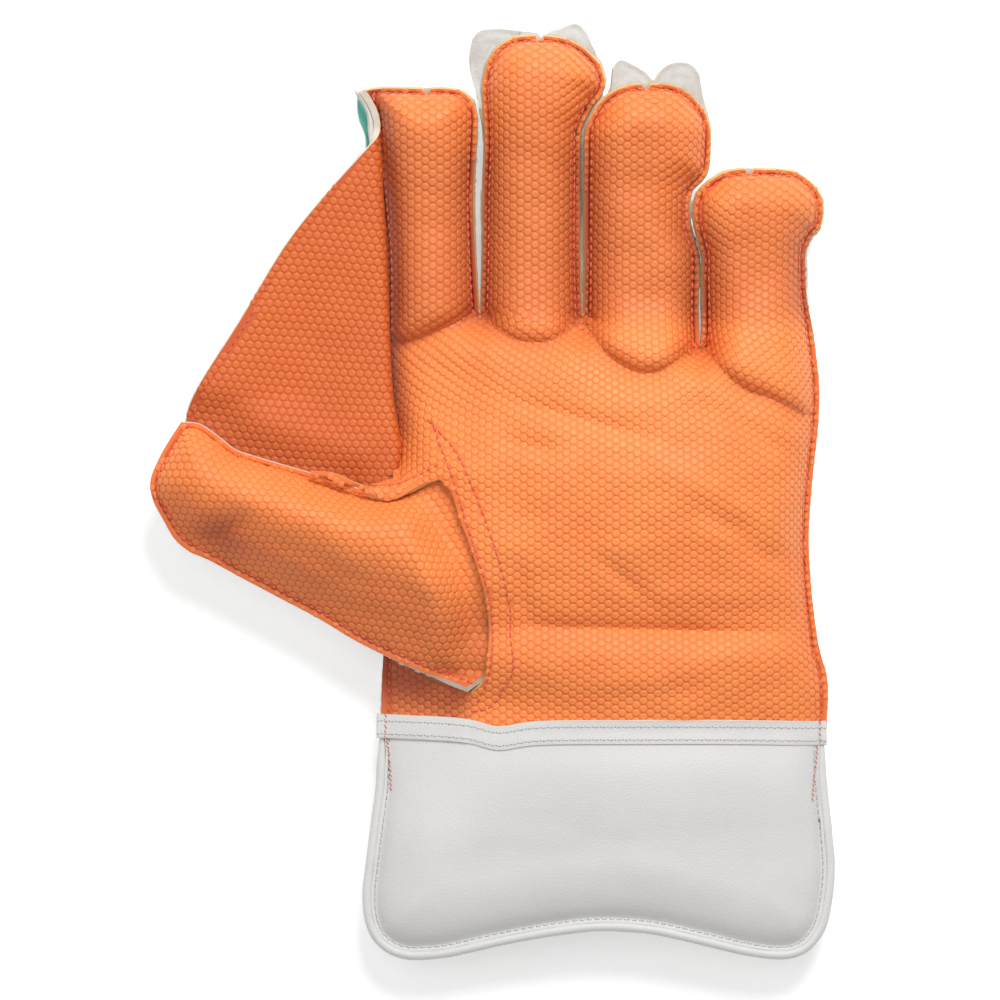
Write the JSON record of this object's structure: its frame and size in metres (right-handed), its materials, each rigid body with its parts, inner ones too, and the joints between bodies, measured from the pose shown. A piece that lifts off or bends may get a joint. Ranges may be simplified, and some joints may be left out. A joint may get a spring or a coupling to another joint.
{
  "type": "wicketkeeping glove",
  "caption": "Left-hand wicketkeeping glove lying palm up: pimpled rubber palm, fingers, thumb and catching web on a leather back, with a padded flared gauntlet.",
  "frame": {"origin": "middle of the glove's plan, at the level its back rests on", "axes": "+Y towards the fingertips, +X towards the little finger, +Z out of the palm"},
  "size_m": [0.2222, 0.3028, 0.042],
  "materials": {
    "orange_rubber": "satin rubber sheet with low round pimples, on pale cloth",
    "white_leather": "soft grained white leather with pale stitches",
    "teal_leather": "plain teal leather with a white cut edge"
  },
  "bodies": {
    "root": {"palm_facing": "orange_rubber", "thumb_facing": "orange_rubber", "web_facing": "orange_rubber", "web_backing": "white_leather", "thumb_back": "white_leather", "hand_back": "white_leather", "finger_back_index": "white_leather", "finger_back_middle": "white_leather", "finger_back_ring": "white_leather", "finger_back_little": "white_leather", "index_side_panel": "teal_leather", "cuff_front": "white_leather", "cuff_back": "white_leather", "cuff_piping": "white_leather", "wrist_binding": "white_leather"}
  },
  "joints": []
}
